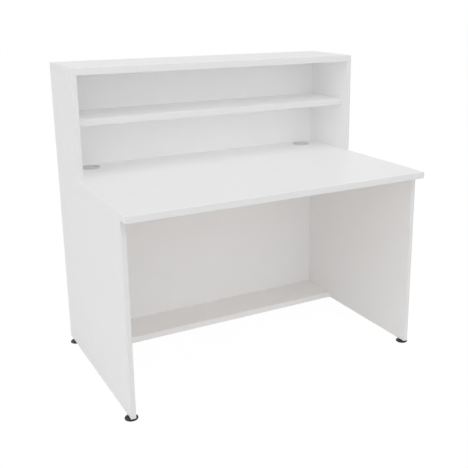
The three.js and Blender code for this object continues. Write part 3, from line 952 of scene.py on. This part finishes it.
class DESK_OT_levelling_feet(bpy.types.Operator):
    """Build the levelling feet: glide disc, threaded stud and the insert in the panel"""

    bl_idname = "desk.levelling_feet"
    bl_label = "Levelling Feet"

    def execute(self, context):
        sizes, colours = context.scene.desk_fittings, context.scene.desk_colours
        masters = {"disc": self.disc(), "stud": self.stud(sizes), "insert": self.insert()}
        black = finish_named("black_foot_plastic", moulded_plastic, colours.black_plastic, 0.36, 0.48)
        masters["disc"].data.materials.append(black)
        masters["stud"].data.materials.append(plated_steel(colours))
        masters["insert"].data.materials.append(cast_zinc(colours))
        bodies = {"disc": ("foot", "black_plastic"), "stud": ("stud", "steel"), "insert": ("desk", "zinc")}
        for node in nodes_with("foot_disc"):
            spot = node.replace("foot_disc_", "")
            at = box_middle(node)
            place = Matrix.Translation((at.x, at.y, 0))
            for part, master in masters.items():
                body, slot = bodies[part]
                copy = copy_to(master, f"{spot}_foot_{part}_turned", place)
                seat(copy, f"foot_{part}_{spot}", body if body == "desk" else f"{body}_{spot}")
        discard(*masters.values())
        return {"FINISHED"}

    def disc(self):
        """The glide disc about Z, in millimetres, standing on the floor."""
        profile = [(7.3, 0.3), (7.6, 0), (13.6, 0), (13.9, 0.4), (14.9, 0.4), (15.2, 0)]
        profile += [*arc((22.5, 1.0), 1.0, -90, 0, 4), *arc((21.7, 2.3), 1.8, 0, 72, 5)]
        profile += [(18.2, 4.5), (17.9, 4.25), (17.1, 4.4), (16.8, 4.75), (11.2, 5.75)]
        profile += [(10.4, 6.0), (4.8, 6.0), (4.3, 5.5), (4.3, 3.5), (7.3, 3.5)]
        disc = add_turned("foot_disc_turned", profile, steps=72, closed=True)
        smooth(disc, angle=30)
        return disc

    def stud(self, sizes):
        """The stud about Z, in millimetres: captive collar, hexagon and thread."""
        profile = [(0, 1.0), (6.5, 1.0), (7.0, 1.4), (7.0, 2.9), (6.7, 3.2), (4.0, 3.2), (4.0, 8.0)]
        profile += [(3.3, 8.0), (3.3, 34.0), (2.6, 35.0), (0, 35.0)]
        stud = add_turned("foot_stud_turned", profile, steps=32)
        across_flats, low, high, chamfer = 13, 6.3, 9.7, 0.6
        flat, corner = across_flats / 2, 7.6
        hexagon = add_bar("hexagon", across_flats * MM / math.sqrt(3), low * MM * Z, high * MM * Z, sides=6)
        cone = [(0, low), (flat, low), (corner, low + chamfer)]
        cone += [(corner, high - chamfer), (flat, high), (0, high)]
        combine(hexagon, add_turned("chamfer", cone, steps=48), "INTERSECT")
        combine(stud, hexagon, "UNION")
        pitch = sizes.stud_pitch / MM
        thread = add_thread("foot_thread", root=3.2, crest=3.9, pitch=pitch, start=9.8, end=33.6)
        join(stud, thread)
        smooth(stud, angle=30)
        return stud

    def insert(self):
        """The insert about Z, in millimetres, let into the panel's edge, with a coarse outer thread."""
        profile = [(4.1, 10.4), (4.5, 10.0), (6.0, 10.0), (6.0, 10.8), (5.2, 11.2), (5.2, 29.2)]
        profile += [(4.7, 30.0), (4.1, 30.0)]
        insert = add_turned("foot_insert_turned", profile, steps=32, closed=True)
        thread = add_thread("insert_thread", root=5.1, crest=6.0, pitch=2.4, start=11.2, end=29.0)
        join(insert, thread)
        smooth(insert, angle=30)
        return insert


class DESK_OT_cam_fittings(bpy.types.Operator):
    """Build the cam fittings: drums in the boards and the bolts that they draw in"""

    bl_idname = "desk.cam_fittings"
    bl_label = "Cam Fittings"

    def execute(self, context):
        sizes, colours = context.scene.desk_fittings, context.scene.desk_colours
        places = cam_places()
        bolt = self.bolt(sizes, places[0].inset / MM)
        bolt.data.materials.append(plated_steel(colours))
        drums = {}
        for place in places:
            height = round(place.face / MM, 2)
            if height not in drums:
                drums[height] = self.drum(place)
                drums[height].data.materials.append(cast_zinc(colours))
            drum = copy_to(drums[height], f"{place.board}_drum_{place.spot}", place.matrix)
            seat(drum, f"{place.board}_cam_{place.spot}", "desk")
            pin = copy_to(bolt, f"{place.board}_drawbolt_{place.spot}", place.matrix)
            seat(pin, f"{place.board}_bolt_{place.spot}", "desk")
        discard(bolt, *drums.values())
        return {"FINISHED"}

    def drum(self, place):
        """A drum in its fitting's own frame: cross recess, pointer, neck slot and head pocket."""
        x, floor, face = -place.inset, -place.floor, place.face
        drum = add_bar("drum", DRUM_RADIUS, (x, 0, floor), (x, 0, face), sides=48)
        soften(drum, 0.5 * MM)
        slot, mouth = 2.6 * MM, x + 9 * MM
        pocket_radius, pocket = 5.0 * MM, 3.8 * MM
        arm, arm_half, arm_floor = 4 * MM, MM, face - 1.6 * MM
        tip, tip_radius, tip_floor = x + 5.6 * MM, 0.9 * MM, face - 0.5 * MM
        above = face + OVERRUN
        tools = [
            add_block("slot", (x, -slot, -slot), (mouth, slot, slot)),
            add_bar("pocket", pocket_radius, (x, 0, -pocket), (x, 0, pocket), sides=24),
            add_block("cross_a", (x - arm, -arm_half, arm_floor), (x + arm, arm_half, above)),
            add_block("cross_b", (x - arm_half, -arm, arm_floor), (x + arm_half, arm, above)),
            add_bar("pointer", tip_radius, (tip, 0, tip_floor), (tip, 0, above), sides=3),
        ]
        for tool in tools:
            combine(drum, tool, "DIFFERENCE")
        smooth(drum)
        return drum

    def bolt(self, sizes, inset):
        """A bolt in its fitting's own frame, in millimetres, its joint at X = 0."""
        head = -inset - 1.5
        shaft = -inset + 8.1
        profile = [(0, head), (2.7, head), (3.2, head + 0.5), (3.2, head + 2.6), (2.8, head + 3.0)]
        profile += [(2.0, head + 3.0), (2.0, shaft), (3.0, shaft), (3.4, shaft + 0.4), (3.4, -0.4)]
        profile += [(3.0, 0), (2.0, 0), (2.0, 9.6), (1.0, 11.0), (0, 11.0)]
        bolt = add_turned("bolt", profile, steps=24)
        pitch = sizes.bolt_pitch / MM
        thread = add_thread("bolt_thread", root=1.9, crest=2.5, pitch=pitch, start=0.1, end=10.2, steps=16)
        join(bolt, thread)
        smooth(bolt, angle=30)
        bolt.data.transform(Matrix.Rotation(math.pi / 2, 4, "Y"))
        return bolt


class DESK_OT_dowels(bpy.types.Operator):
    """Build the fluted beech dowels"""

    bl_idname = "desk.dowels"
    bl_label = "Dowels"

    def execute(self, context):
        sizes, colours = context.scene.desk_fittings, context.scene.desk_colours
        dowels = nodes_with("dowel")
        low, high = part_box(dowels[0])
        peg = self.peg(min(high - low) / 2, max(high - low), sizes.dowel_flutes)
        for node in dowels:
            axis = dowel_axis(node)
            turn = Z.rotation_difference(axis).to_matrix().to_4x4()
            copy = copy_to(peg, f"{node}_peg", Matrix.Translation(box_middle(node)) @ turn)
            name = f"beech_along_{'xyz'[[X, Y, Z].index(axis)]}"
            copy.data.materials.append(finish_named(name, beech_wood, colours.beech, axis))
            seat(copy, node, "desk")
        discard(peg)
        return {"FINISHED"}

    def peg(self, radius, length, flutes):
        """A dowel about Z: every fourth corner drawn in as a flute, and chamfered ends."""
        chamfer, drawn_in, flute_reach = 0.6 * MM, 0.92, 0.13
        half = length / 2 - chamfer
        peg = add_bar("peg", radius, (0, 0, -half), (0, 0, half), sides=flutes * 4)
        with editing(peg, "VERT"):
            for corner in bmesh.from_edit_mesh(peg.data).verts:
                share = math.atan2(corner.co.y, corner.co.x) / (2 * math.pi) * flutes
                corner.select_set(abs(share - round(share)) < flute_reach)
            bmesh.update_edit_mesh(peg.data)
            bpy.ops.transform.resize(value=(drawn_in, drawn_in, 1))
        with editing(peg, "FACE"):
            pick_faces(peg, lambda at, normal: abs(normal.z) > SQUARE_ON)
            bpy.ops.mesh.inset(thickness=chamfer, depth=chamfer, use_individual=True)
        return peg


class DESK_OT_stage(bpy.types.Operator):
    """Set the camera, a pale floor and even studio light"""

    bl_idname = "desk.stage"
    bl_label = "Stage"

    def execute(self, context):
        stage = context.scene.desk_stage
        self.camera(context.scene, stage)
        self.floor(stage)
        lamps = (
            ("left_softbox", (-4.3, -1.0, 1.0), 3, 3),
            ("user_softbox", (0, -3.2, 3.2), 3, 2),
            ("top_softbox", (0, -1.2, 3.8), 2, 2),
            ("visitor_softbox", (2.0, 3.8, 0), 3, 0.9),
        )
        for lamp, power in zip(lamps, stage.softboxes):
            self.softbox(*lamp, power)
        self.sky(context.scene, stage)
        context.scene.cycles.diffuse_bounces = 10
        context.scene.view_settings.view_transform = "Standard"
        return {"FINISHED"}

    def camera(self, scene, stage):
        """A camera where the photo was taken from."""
        deselect()
        turn = (math.pi / 2 - stage.camera_dip, 0, -stage.camera_turn)
        bpy.ops.object.camera_add(location=stage.camera_place, rotation=turn)
        camera = bpy.context.object
        camera.data.lens = stage.lens
        camera.data.sensor_width = 36
        camera.data.shift_x = stage.shift_x
        camera.data.shift_y = stage.shift_y
        scene.camera = camera

    def floor(self, stage):
        """A wide pale floor that looks white and keeps a faint shadow."""
        deselect()
        bpy.ops.mesh.primitive_plane_add(size=60)
        floor = bpy.context.object
        floor.name = "studio_floor"
        finish, tree, shader, _ = start_finish("studio_floor", shine=0.0)
        shader.inputs["Base Color"].default_value = (*stage.floor, 1)
        shader.inputs["Roughness"].default_value = 1.0
        glow = add_node(tree, "Emission", Strength=stage.floor_glow)
        white = self.arithmetic(tree, "MULTIPLY", self.seen_rays(tree), stage.floor_white)
        self.blend(tree, white, shader, glow, "Material Output")
        floor.data.materials.append(finish)

    def arithmetic(self, tree, operation, *values):
        """One step of arithmetic on sockets and plain numbers."""
        step = add_node(tree, "Math")
        step.operation = operation
        for socket, value in zip(step.inputs, values):
            feed(tree, socket, value)
        return step.outputs[0]

    def share(self, tree, part, below, above):
        """Light along one axis: the square of a direction's part, times the strength on that side."""
        side = self.arithmetic(tree, "GREATER_THAN", part, 0.0)
        strength = self.arithmetic(tree, "MULTIPLY_ADD", side, above - below, below)
        return self.arithmetic(tree, "MULTIPLY", self.arithmetic(tree, "MULTIPLY", part, part), strength)

    def seen_rays(self, tree):
        """1 for rays from the camera and for mirrored or passed-through ones."""
        path = add_node(tree, "LightPath").outputs
        direct = self.arithmetic(tree, "MAXIMUM", path["Is Camera Ray"], path["Is Glossy Ray"])
        return self.arithmetic(tree, "MAXIMUM", direct, path["Is Transmission Ray"])

    def blend(self, tree, share, first, second, output):
        """Lead one shader, and another by its share, to a tree's output."""
        mix = add_node(tree, "MixShader", Fac=share)
        for shader, socket in zip((first, second), mix.inputs[1:]):
            tree.links.new(shader.outputs[0], socket)
        tree.links.new(mix.outputs[0], tree.nodes[output].inputs["Surface"])

    def softbox(self, name, reach, width, height, power):
        """A wide lamp that looks at the desk's middle from some way off."""
        deselect()
        turn = Vector(reach).to_track_quat("Z", "Y").to_euler()
        bpy.ops.object.light_add(type="AREA", location=Vector(reach) + LAMP_AIM, rotation=turn)
        lamp = bpy.context.object
        lamp.name = name
        lamp.data.shape = "RECTANGLE"
        lamp.data.size = width
        lamp.data.size_y = height
        lamp.data.energy = power
        lamp.visible_camera = False

    def sky(self, scene, stage):
        """Light from all round, its strength shared out by the direction that it comes from."""
        world = bpy.data.worlds.new("studio_sky")
        world.use_nodes = True
        tree = world.node_tree
        way = add_node(tree, "TexCoord").outputs["Generated"]
        towards = add_node(tree, "SeparateXYZ", Vector=way)
        pairs = (stage.light_sides, stage.light_ends, (0, stage.light_above))
        shares = [self.share(tree, part, *pair) for part, pair in zip(towards.outputs, pairs)]
        total = self.arithmetic(tree, "ADD", self.arithmetic(tree, "ADD", shares[0], shares[1]), shares[2])
        light = tree.nodes["Background"]
        light.inputs["Color"].default_value = (1, 1, 1, 1)
        tree.links.new(total, light.inputs["Strength"])
        white = add_node(tree, "Background", Color=(1, 1, 1, 1), Strength=1.0)
        self.blend(tree, self.seen_rays(tree), light, white, "World Output")
        scene.world = world


class VIEW3D_PT_reception_desk(bpy.types.Panel):
    """The desk's operators and settings"""

    bl_label = "Reception Desk"
    bl_space_type = "VIEW_3D"
    bl_region_type = "UI"
    bl_category = "Desk"

    def draw(self, context):
        for operator in OPERATORS:
            self.layout.operator(operator.bl_idname)
        for title, settings in SETTINGS.items():
            box = self.layout.box()
            box.label(text=title)
            group = getattr(context.scene, settings[0])
            for name in settings[1].__annotations__:
                box.prop(group, name)


OPERATORS = (
    DESK_OT_side_panels,
    DESK_OT_desktop,
    DESK_OT_counter_top,
    DESK_OT_shelves,
    DESK_OT_back_panel,
    DESK_OT_cable_ports,
    DESK_OT_levelling_feet,
    DESK_OT_cam_fittings,
    DESK_OT_dowels,
    DESK_OT_stage,
)
SETTINGS = {
    "Boards": ("desk_boards", DeskBoardSizes),
    "Fittings": ("desk_fittings", DeskFittingSizes),
    "Colours": ("desk_colours", DeskColours),
    "Stage": ("desk_stage", DeskStageSettings),
}


def register():
    for name, group in SETTINGS.values():
        bpy.utils.register_class(group)
        setattr(bpy.types.Scene, name, PointerProperty(type=group))
    for kind in (*OPERATORS, VIEW3D_PT_reception_desk):
        bpy.utils.register_class(kind)


def unregister():
    for kind in (VIEW3D_PT_reception_desk, *reversed(OPERATORS)):
        bpy.utils.unregister_class(kind)
    for name, group in SETTINGS.values():
        delattr(bpy.types.Scene, name)
        bpy.utils.unregister_class(group)


def main():
    register()
    bpy.ops.desk.side_panels()
    bpy.ops.desk.desktop()
    bpy.ops.desk.counter_top()
    bpy.ops.desk.shelves()
    bpy.ops.desk.back_panel()
    bpy.ops.desk.cable_ports()
    bpy.ops.desk.levelling_feet()
    bpy.ops.desk.cam_fittings()
    bpy.ops.desk.dowels()
    bpy.ops.desk.stage()


if __name__ == "__main__":
    main()
